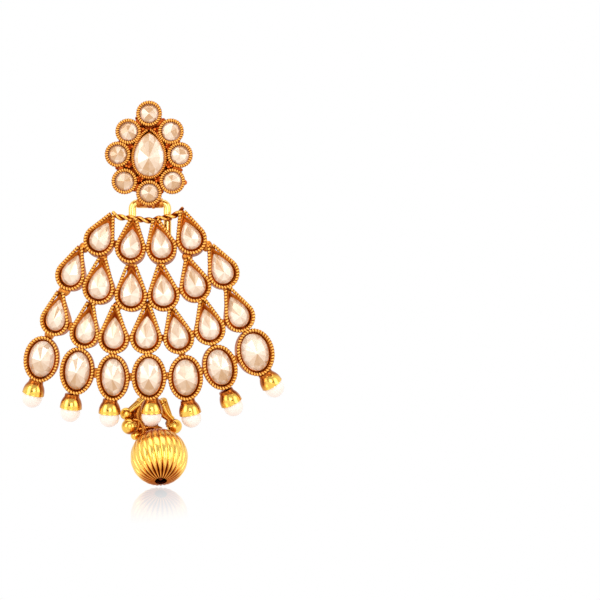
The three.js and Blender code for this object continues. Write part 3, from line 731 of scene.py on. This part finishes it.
def ledge(place, border, window, rake):
    """The narrow shelf behind a stone, from the strip to the window."""
    outer = np.asarray(border) * 1.06 - (0, rake * 0.75)
    # The shelf carries painted shade.
    return part(skin([flat_on(place, outer, 2.1), flat_on(place, window, 2.3)]), 0.55)


def arcs_between(slits):
    """The stretches left of a turn when some are taken out, in degrees, in order."""
    if not slits:
        return [(0, 360)]
    starts = [end for _, end in slits]
    ends = [start for start, _ in slits[1:]] + [slits[0][0] + 360]
    return list(zip(starts, ends))


def oval_arc(half_width, half_height, first, last):
    """Part of an oval line, between two turns in degrees clockwise from the top."""
    turn = np.radians(np.linspace(first, last, 60))
    return np.stack([half_width * np.sin(turn), half_height * np.cos(turn)], axis=1)


def tear_setting(place, radius, tip, opening, stone_line, rake, extra_shade):
    mouth = radius - RIM + 0.04
    made = rim_wire(place, tear_line(mouth, tip + 0.05, opening), RIM, RIM_BEAD, RIM, False, extra_shade)
    outer = radius - STRIP["outside"]
    made.append(strip_wall(place, tear_line(outer, tip * outer / radius), False, rake))
    made.append(part(wall(place, stone_line, LIP, True), LIP_SHADE))
    inner = radius - STRIP["inside"]
    inner_line = spread(tear_line(inner, tip * inner / radius), 0.4, False)[0]
    ring = inner_line / np.linalg.norm(inner_line, axis=1)[:, None] * 1.25
    made.append(ledge(place, inner_line, ring, rake))
    return made


def tip_floor(place, radius, tip, opening):
    """Solder that filled the corner between a teardrop's tip and the tip of its stone."""
    inner = radius - 0.5
    inner_tip = tip * inner / radius
    spread_out = math.tan(math.asin(inner / inner_tip))
    heights = np.array([radius * 0.35, radius * 0.7, tip * 0.75, tip - 0.15])
    sides = np.maximum((inner_tip - heights) * spread_out, opening + 0.1)
    sides[0] = inner * 0.95
    right = np.stack([sides, heights], axis=1)
    left = right[::-1] * (-1, 1)
    line = np.vstack([right, left])
    edge = [1.15, 1.0, 0.8, 0.65]
    points = np.vstack([flat_on(place, line, edge + edge[::-1]), flat_on(place, [(0, tip - 1.5)], 0.75)])
    return points, [[i, (i + 1) % 8, 8] for i in range(8)]


def oval_setting(place, half_width, half_height, slits, rake):
    line = oval_line(half_width - RIM + 0.04, half_height - RIM + 0.04)
    made = rim_wire(place, line, RIM, RIM_BEAD, RIM, True, OVAL_WIRE_SHADE)
    line = oval_line(half_width - STRIP["outside"], half_height - STRIP["outside"])
    made.append(strip_wall(place, line, True, rake))
    window = 1.35
    for first, last in arcs_between(slits):
        lip_line = oval_arc(half_width - STONE_INSET, half_height - STONE_INSET, first, last)
        made.append(part(wall(place, lip_line, LIP, False), LIP_SHADE))
        border = oval_arc(half_width - STRIP["inside"], half_height - STRIP["inside"], first, last)
        opening = oval_arc(half_width - window, half_height - window, first, last)
        made.append(ledge(place, border, opening, rake))
    return made


shaker = np.random.default_rng(4)
OPENINGS = {  # half the space between a teardrop's wire ends, where it isn't the usual one
    "tear_stone_1_1": 0.25, "tear_stone_2_1": 0.3, "tear_stone_2_2": 0.55, "tear_stone_2_3": 0.7,
    "tear_stone_2_5": 0.25, "tear_stone_3_1": 0.5, "tear_stone_3_2": 0.5, "tear_stone_3_3": 0.3,
}
for name, spot in PANEL.items():
    row = name.rsplit("_", 1)[0]
    if spot["kind"] == "tear":
        spot["opening"] = OPENINGS.get(name, 0.4)
        wide = spot["small"] - STONE_INSET - 0.05
        tall = 3.4 if row == "tear_stone_1" else 3.85
        tall += shaker.uniform(-0.15, 0.15)
        spot["stone"] = drop_line(wide, -wide, tall, 0.8)
        tip = spot["small"] * spot["long"]
        made = tear_setting(spot["place"], spot["small"], tip, spot["opening"], spot["stone"], RAKE[row],
                            TEAR_WIRE_SHADE[row])
    else:
        made = oval_setting(spot["place"], spot["small"], spot["long"], OVAL_SLITS.get(name, []), RAKE[row])
    piece(name.replace("stone", "setting"), made, antique_gold, "drop")


# ---- Stones of the panel ----
# Pear and oval champagne stones with a low point and long facets. Each was set by hand, so none sits
# quite like the next; widths and heights differ a little.
for name, spot in PANEL.items():
    if spot["kind"] == "tear":
        line, rise, off, tan, contrast = spot["stone"], 1.0, (0, 0.1), 0, 1.2
    else:
        line = oval_line(spot["small"] - STONE_INSET, spot["long"] - STONE_INSET)
        rise, off, tan, contrast = 1.2, (0, -0.2), 180, 1.4
    # Their facets carry the same painted reflection.
    cut = cut_stone(spot["place"], outline_at(line, GIRDLE_POINTS), depth=0.78, rise=rise,
                    seed=int(shaker.integers(1000)), off=off, tan=tan, other=0.35, contrast=contrast)
    stones(name.replace("stone", "cut_stone"), [cut], "drop", [name])


# ---- Solder between the settings ----
# Wherever two settings touch, a run of solder has crept between their strips. It also fills the corner
# between a teardrop's tip and the tip of its stone, where it is coloured dark red with painted shade.
RUN_DEPTH = 1.55
TOUCHING = 1.4  # the widest gap that solder bridges
outlines = {}
for name, spot in PANEL.items():
    if spot["kind"] == "tear":
        radius = spot["small"] - STRIP["outside"]
        line = tear_line(radius, radius * spot["long"])
    else:
        line = oval_line(spot["small"] - STRIP["outside"], spot["long"] - STRIP["outside"])
    outlines[name] = flat_on(spot["place"], spread(line, 0.2, True)[0], RUN_DEPTH)
FLOOR_SHADES = {  # the painted shade of the solder in a tip, where it isn't the usual dark red
    "tear_stone_1_1": 0.3, "tear_stone_1_2": 0.25, "tear_stone_1_3": 0.35, "tear_stone_1_4": 0.35,
    "tear_stone_2_2": 0.25, "tear_stone_2_3": 0.5, "tear_stone_2_4": 0.45, "tear_stone_2_5": 0.5,
}
floors = []
for name, spot in PANEL.items():
    if spot["kind"] == "tear":
        tip = spot["small"] * spot["long"]
        shade = FLOOR_SHADES.get(name, 0.7)
        floors.append(part(tip_floor(spot["place"], spot["small"], tip, spot["opening"]), shade))
names = list(outlines)
# The joints' solder carries painted shade 0.45.
joints = []
for i, first in enumerate(names):
    for second in names[i + 1:]:
        apart = np.linalg.norm(outlines[first][:, None] - outlines[second][None], axis=2)
        a, b = np.unravel_index(apart.argmin(), apart.shape)
        if apart[a, b] < TOUCHING:
            centre = (outlines[first][a] + outlines[second][b]) / 2
            width = max(apart[a, b] + 1.0, TOUCHING)
            joints.append(part(lump(centre, (width, 1.5, width), 100 + i), 0.45))
piece("panel_solder", floors, solder_and_shade_gold, "drop")
piece("panel_joints", joints, antique_gold, "drop")


# ---- Caps and pearls ----
# Under each oval hangs a cream pearl glued into a smooth domed cap, whose top is soldered to the setting's
# foot. The cap has a pin hole in front, drawn as a small disc in full painted shade, and a painted
# reflection; the pearls are a little uneven, painted rosier below as shade, and glow faintly as painted
# light.
# The pearls' faint cream glow is painted light.
pearl_finish = Finish("cream_nacre", coat_weight=0.6, coat_roughness=0.12, emission_strength=0.02,
                      emission_color=(1.0, 0.93, 0.87, 1))
blush = pearl_finish.noise(2.5, 1.0)
below = pearl_finish.painted("painted_shade")
tint = blush * 0.5 + below * 0.6 - 0.05  # rosier below, as painted shade
pearl_finish.feed("Base Color", pearl_finish.mix(tint, (0.96, 0.88, 0.79, 1), (0.86, 0.66, 0.56, 1)))
pearl_finish.feed("Roughness", 0.2 + blush * 0.08)
pearl_finish.bump(pearl_finish.noise(1.6, 1.0), 0.06, 0.05)

CAP_LEANS = [14.5, 6.5, 3, 0, -12, -25, -33]  # clockwise, in degrees
CAP = {"radius": 2.0, "mouth": 0.74, "dome": 2.05, "neck": 1.37}
CAP_SIDES = 48
PEARL_RADIUS = 1.8
PEARL_SIDES, PEARL_RINGS = 40, 26
dome_gold = plated("dome_gold", (1.0, 0.63, 0.12), (0.5, 0.14, 0.018), 0.13, 0.08)


def hung_place(centre, back, degrees):
    """A cap's place: its back is the oval's above it, and it leans clockwise from upright."""
    level = np.array([1.0, 0, 0]) - back * back[0]
    right = level / np.linalg.norm(level)
    up = np.cross(right, back)
    lean = math.radians(degrees)
    return (centre, right * math.cos(lean) - up * math.sin(lean), back,
            right * math.sin(lean) + up * math.cos(lean))


def cap_dome(place):
    """The cap, with a painted reflection: bright in front, and painted darker where it turns away to the
    sides, the top and the rim.
    """
    wide, mouth, neck, dome = CAP["radius"], CAP["mouth"], CAP["neck"], CAP["dome"]
    profile = [(wide - 0.18, mouth), (wide - 0.05, mouth - 0.08), (wide + 0.02, mouth)]
    rise = np.linspace(0.05, 1, 16)
    profile += [(neck + (wide - neck) * (1 - t ** 2.4), mouth + dome * t) for t in rise]
    profile += [(neck - 0.03, 3.0), (neck - 0.06, 3.3), (neck - 0.3, 3.4)]
    points, faces, _ = turned(profile, place, CAP_SIDES)
    sides = np.abs(np.sin(2 * np.pi * np.arange(CAP_SIDES) / CAP_SIDES))
    climb = np.array([0.3, 0.2, 0.0, *rise, 1.1, 1.2, 1.3])
    from_front = np.hypot(0.95 * sides[None, :], 0.9 * climb[:, None])
    return points, faces, np.clip((from_front - 0.68) * 1.7, 0, 0.6).ravel()


for i, lean in enumerate(CAP_LEANS):
    low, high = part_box(f"pearl_{i + 1}")
    place = hung_place(np.array((low + high) / 2) / MM, PANEL[f"oval_stone_{i + 1}"]["place"][2], lean)
    centre, across, back, up = place
    # The pin hole is a small disc in full painted shade.
    hole_place = (centre - back * (CAP["radius"] * 0.965) + up * 1.5, across, up, -back)
    hole = turned([(0.17, -0.03), (0.17, 0.02)], hole_place, 12, 1.0)
    # A drip of solder at the neck, dark with painted shade.
    drip = flat_on(place, [(0.1, 2.75)], -CAP["neck"] + 0.12)[0]
    neck_solder = part(lump(drip, (1.5, 0.4, 0.7), 200 + i), 0.8)
    piece(f"pearl_cap_{i + 1}", [cap_dome(place), hole, neck_solder], dome_gold, "drop")
    seed = np.random.default_rng(300 + i)
    profile = [(PEARL_RADIUS * math.sin(turn) * seed.uniform(0.99, 1.01), -PEARL_RADIUS * math.cos(turn))
               for turn in np.radians(np.linspace(2, 178, PEARL_RINGS))]
    # Painted shade, rising towards the pearl's bottom.
    below = np.repeat(np.linspace(1, -0.4, PEARL_RINGS).clip(0, 1), PEARL_SIDES)
    piece(f"nacre_pearl_{i + 1}", [turned(profile, place, PEARL_SIDES, below)], pearl_finish.material,
          "drop", [f"pearl_{i + 1}"], sharp=80)


# ---- Eye, jump ring and bead strands ----
# Behind the middle cap a wire eye carries a jump ring. The ribbed ball hangs from the ring on a headed
# pin, with a short strand of small gold beads on each side.
EYE = {"centre": (0.2, 3.2, -43.5), "radius": 1.4, "wire": 0.3}
RING = {"top": (0.2, 3.55, -43.9), "radius": 2.0, "wire": 0.3, "lean": 36}
LINK = {"radius": 0.95, "wire": 0.3}
STRAND_TURN = math.radians(58)  # from the ring's foot to where a strand hooks on
BEAD_RINGS, BEAD_SIDES = 20, 28


def loop_of(centre, side, other, radius, wire, count=40):
    """A closed ring of round wire in the plane of two directions."""
    turn = 2 * np.pi * np.arange(count) / count
    path = centre + radius * (np.cos(turn)[:, None] * side + np.sin(turn)[:, None] * other)
    return tube(path, wire, np.cross(side, other), 12, True)


X, Y, Z = UPRIGHT[1:]
# The eye, the ring and the links carry painted shade 0.3.
piece("pendant_eye", [part(loop_of(EYE["centre"], Y, Z, EYE["radius"], EYE["wire"]), 0.3)], antique_gold,
      "drop")
lean = math.radians(RING["lean"])
ring_down = np.array([0, math.sin(lean), -math.cos(lean)])
ring_back = np.cross(X, ring_down)
ring_centre = RING["top"] + RING["radius"] * ring_down
piece("jump_ring_wire", [part(loop_of(ring_centre, X, ring_down, RING["radius"], RING["wire"]), 0.3)],
      antique_gold, "drop", ["jump_ring"])

STRANDS = {  # the side it hangs on, and each bead's place and radius
    "bead_strand_left": (-1, [
        (-4.45, 4.0, -46.6, 1.13), (-3.8, 3.0, -48.85, 1.45), (-2.75, 4.1, -50.5, 0.9)]),
    "bead_strand_right": (1, [(4.25, 4.9, -48.9, 1.38)]),
}
WRAPS = {  # the ends of the strands' wires, wound round and tucked in behind the middle cap
    "bead_strand_left": [
        [(-0.9, 3.2, -43.9), (-2.4, 3.4, -45.1), (-3.9, 3.7, -46.2)],
        [(-1.5, 3.9, -44.6), (-2.3, 4.0, -46.5), (-2.2, 4.2, -48.6), (-2.9, 4.3, -50.3)],
        [(-1.0, 4.1, -45.4), (-1.6, 4.2, -47.2), (-1.4, 4.3, -49.2), (-0.6, 4.4, -50.6)],
        [(-3.2, 3.9, -47.6), (-2.0, 4.1, -47.9), (-1.2, 4.3, -49.6), (-1.8, 4.4, -50.6)],
        [(-2.2, 4.3, -49.4), (-0.8, 4.5, -49.1), (0.6, 4.5, -49.0), (1.9, 4.2, -49.5)],
    ],
    "bead_strand_right": [
        [(1.9, 3.7, -44.0), (2.45, 3.9, -45.3), (3.1, 4.2, -46.6), (4.0, 4.5, -47.6)],
        [(1.8, 4.1, -45.6), (2.2, 4.3, -46.8), (3.2, 4.5, -47.7), (3.2, 4.6, -49.0)],
    ],
}
WIRE_SOLDER = {  # solder that holds the wires' ends, dark with painted shade: place and size
    "bead_strand_left": [
        (-2.9, 4.2, -46.9, 1.5), (-2.3, 4.3, -48.3, 1.4), (-1.5, 4.4, -49.8, 1.7), (0.0, 4.6, -49.7, 1.6),
        (1.5, 4.4, -49.9, 1.2), (-2.5, 4.2, -45.7, 1.3), (-3.55, 3.9, -47.15, 1.15)],
    "bead_strand_right": [(3.3, 4.9, -48.4, 1.2), (2.9, 4.5, -47.0, 0.9)],
}
for name, (side, beads) in STRANDS.items():
    outward = side * math.sin(STRAND_TURN) * X - math.cos(STRAND_TURN) * ring_down
    hook = ring_centre + RING["radius"] * outward
    made = [part(loop_of(hook, outward, ring_back, LINK["radius"], LINK["wire"], 28), 0.3)]
    route = [hook + LINK["radius"] * outward] + [np.array(bead[:3]) for bead in beads]
    route.append(route[-1] + (route[-1] - route[-2]) * 0.02)
    for k, wrap in enumerate(WRAPS[name]):
        # dark is each wire's painted shade.
        thick, dark = (0.48, 0.45) if k else (0.42, 0.05)
        made.append(part(tube(smooth_path(wrap, 30), thick, Y, 12), dark))
    made.append(part(tube(smooth_path(route, 40), LINK["wire"], Y, 10), 0.3))
    # The solder lumps lie deep in painted shade.
    for k, (x, y, z, across) in enumerate(WIRE_SOLDER[name]):
        made.append(part(lump((x, y, z), (across, 0.9, across * 1.15), 400 + k), 0.9))
    for k, (x, y, z, radius) in enumerate(beads):
        along = route[k + 1] - route[k]
        along /= np.linalg.norm(along)
        side_way = np.cross(along, Y)
        side_way /= np.linalg.norm(side_way)
        place = (np.array([x, y, z]), side_way, np.cross(along, side_way), along)
        profile = [(radius * math.sin(turn), -radius * math.cos(turn))
                   for turn in np.radians(np.linspace(14, 166, BEAD_RINGS))]
        # Painted shade at each bead's two ends.
        dark_ends = np.clip(np.abs(np.linspace(-1.6, 1.6, BEAD_RINGS)) - 0.85, 0.1, 1)
        made.append(turned(profile, place, BEAD_SIDES, np.repeat(dark_ends, BEAD_SIDES)))
    piece(name + "_beads", made, dome_gold, "drop", [name])


# ---- Ball pin and ribbed ball ----
# A hollow ball pressed with ribs from pole to pole, plated bright, with grooves that meet at a hole below.
# Painted shade darkens the grooves a little, the ribs and grooves round the hole strongly, a band at the
# top, and the inside. It is threaded on a pin with a head below and a loop above, and leans forward on it,
# so that the hole shows.
BALL = {"radius": 5.17, "ribs": 24, "groove": 0.4, "hole": 1.1, "wall": 0.55}
BALL_CENTRE = np.array([1.67, 1.0, -54.27])
BALL_TWIST = 0.1  # of the ribs between the ball's poles
BALL_FORWARD, BALL_SIDEWAYS = math.radians(34), math.radians(6)
BALL_RINGS, RIB_STEPS = 64, 12


def ball_place():
    """The ball's frame: across, back and up along its own axis."""
    c, s = math.cos(BALL_FORWARD), math.sin(BALL_FORWARD)
    back = np.array([0, c, -s])
    up = np.array([0, s, c])
    c, s = math.cos(BALL_SIDEWAYS), math.sin(BALL_SIDEWAYS)
    roll = np.array([[c, 0, -s], [0, 1, 0], [s, 0, c]])
    return (BALL_CENTRE, roll @ X, roll @ back, roll @ up)


place = ball_place()
around = BALL["ribs"] * RIB_STEPS
level_turn = 2 * np.pi * np.arange(around) / around
crown = np.abs(np.cos(BALL["ribs"] * level_turn / 2))
groove, wide_groove = 1 - crown ** 0.5, 1 - crown ** 1.6
start = math.asin(BALL["hole"] / BALL["radius"])
rows, shades = [], []
for polar in np.linspace(start, np.pi - start, BALL_RINGS):
    fade = min(1.0, 1.9 * math.sin(polar)) * (0.5 + 0.5 * max(0.0, math.cos(polar)))
    reach = BALL["radius"] - BALL["groove"] * groove * fade
    turn = level_turn + BALL_TWIST * math.cos(polar)
    ring = np.stack([np.cos(turn), np.sin(turn)], axis=1) * (reach * math.sin(polar))[:, None]
    rows.append(lathe_ring(place, ring, 0) - (reach * math.cos(polar))[:, None] * place[3])
    low = min(1.0, max(0.0, (math.cos(polar) - 0.58) / 0.27))  # rises to 1 round the hole below
    high = min(1.0, max(0.0, (polar - 1.5) / 0.8))  # rises to 1 in the shade at the top
    shade = groove * (0.1 + 0.4 * high) + wide_groove * low + 0.35 * low ** 2 + 0.36 * high
    shades.append(np.clip(shade, 0, 1))
inner_radius = BALL["radius"] - BALL["wall"]
inner_start = math.asin(BALL["hole"] / inner_radius)
# The inside, in full painted shade.
for polar in np.linspace(np.pi - inner_start, inner_start, 16):
    ring = np.stack([np.cos(level_turn), np.sin(level_turn)], axis=1) * inner_radius * math.sin(polar)
    rows.append(lathe_ring(place, ring, -inner_radius * math.cos(polar)))
    shades.append(np.full(around, 1.0))
points, faces = skin(rows, closed=True)
ball_gold = plated("ball_gold", (1.0, 0.64, 0.135), (0.62, 0.16, 0.015), 0.15, 0.08)
piece("ribbed_ball_shell", [(points, faces, np.concatenate(shades))], ball_gold, "drop",
      ["ribbed_ball"], sharp=60)

pin_top = BALL["radius"] + 3.5  # the middle of the pin's loop
shaft = [(0.3, -BALL["radius"] + 0.5), (0.25, -4), (0.25, pin_top - LINK["radius"])]
head = [(0.3, -4.3), (0.6, -4.26), (0.68, -4.15), (0.62, -4.0), (0.3, -3.95)]
loop_centre = place[0] + place[3] * pin_top
# The pin is coloured dark red with painted shade, deepest on its head inside the ball.
piece("ball_pin_wire", [
    turned(shaft, place, 16, 0.8), turned(head, place, 24, 1.0),
    part(loop_of(loop_centre, place[2], place[3], LINK["radius"], LINK["wire"], 28), 0.25)],
    solder_and_shade_gold, "drop", ["ball_pin"])


# ---- Table, light and view ----
# A pale table under the drop, glossy only round the ball, in a white room. Two soft lights stand at the
# sides, one hangs above and a small one is in front. The table and the lights are in metres.
TABLE_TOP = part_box("ribbed_ball")[0].z - 0.2 * MM
TABLE_HALF = 1.6
table_mesh = bpy.data.meshes.new("table")
corners = [(x * TABLE_HALF, y * TABLE_HALF, TABLE_TOP) for x, y in ((-1, -1), (1, -1), (1, 1), (-1, 1))]
table_mesh.from_pydata(corners, [], [(0, 1, 2, 3)])
table = bpy.data.objects.new("table", table_mesh)
bpy.context.scene.collection.objects.link(table)
white_top = bpy.data.materials.new("white_top")
white_top.use_nodes = True
top = Nodes(white_top.node_tree)
spot = top.node("ShaderNodeTexCoord", output=3)
squeezed = top.node("ShaderNodeVectorMath", {"operation": "MULTIPLY"}, {0: spot, 1: (4.5, 1, 0)})
from_ball = top.node("ShaderNodeVectorMath", {"operation": "LENGTH"}, {0: squeezed}, output=1)
glossy_share = top.ramp(from_ball * 8, [(0.1, 0.36), (0.72, 0.0)])
glow = top.node("ShaderNodeEmission", {}, {"Color": (1, 1, 1, 1)})
gloss = top.node("ShaderNodeBsdfAnisotropic", {}, {"Color": (1, 1, 1, 1), "Roughness": 0.02})
top.shown("Material Output", top.node("ShaderNodeMixShader", {}, {0: glossy_share, 1: glow, 2: gloss}))
table_mesh.materials.append(white_top)

world = bpy.data.worlds.new("room")
bpy.context.scene.world = world
world.use_nodes = True
room = Nodes(world.node_tree)
direction = room.node("ShaderNodeTexCoord", output=0)
backward = room.node("ShaderNodeSeparateXYZ", {}, {0: direction}, output=1)
dimmer = room.node("ShaderNodeMapRange", {}, {
    "Value": backward, "From Min": -0.9, "From Max": 0.2, "To Min": 0.6, "To Max": 1.0})
lit = room.node("ShaderNodeBackground", {}, {"Color": dimmer})
seen = room.node("ShaderNodeBackground", {}, {"Color": (1, 1, 1, 1)})
from_camera = room.node("ShaderNodeLightPath")
room.shown("World Output", room.node("ShaderNodeMixShader", {}, {0: from_camera, 1: lit, 2: seen}))

SOFT_LIGHTS = [
    {"name": "left_light", "at": (-0.42, -0.34, 0.10), "size": (0.26, 0.5), "power": 1.1},
    {"name": "right_light", "at": (0.46, -0.30, 0.06), "size": (0.26, 0.5), "power": 0.9},
    {"name": "top_light", "at": (0.0, -0.12, 0.5), "size": (0.6, 0.4), "power": 1.3},
    {"name": "front_light", "at": (0.06, -0.5, 0.05), "size": (0.2, 0.2), "power": 0.5},
]
aim = Vector((0, 0, -0.025))
for row in SOFT_LIGHTS:
    lamp = bpy.data.lights.new(row["name"], "AREA")
    lamp.shape = "RECTANGLE"
    lamp.size, lamp.size_y = row["size"]
    lamp.energy = row["power"]
    holder = bpy.data.objects.new(row["name"], lamp)
    bpy.context.scene.collection.objects.link(holder)
    holder.location = row["at"]
    holder.rotation_euler = (aim - Vector(row["at"])).to_track_quat("-Z", "Y").to_euler()

VIEW_WIDTH = 107.7
VIEW_CENTRE = (26.99, -26.03)  # across and up
eye = bpy.data.cameras.new("eye")
eye.lens = 180
eye.clip_start = 0.01
distance = VIEW_WIDTH * MM * eye.lens / eye.sensor_width
camera = bpy.data.objects.new("eye", eye)
bpy.context.scene.collection.objects.link(camera)
camera.location = (VIEW_CENTRE[0] * MM, -distance, VIEW_CENTRE[1] * MM)
camera.rotation_euler = (math.radians(90), 0, 0)
bpy.context.scene.camera = camera
bpy.context.scene.view_settings.view_transform = "Standard"
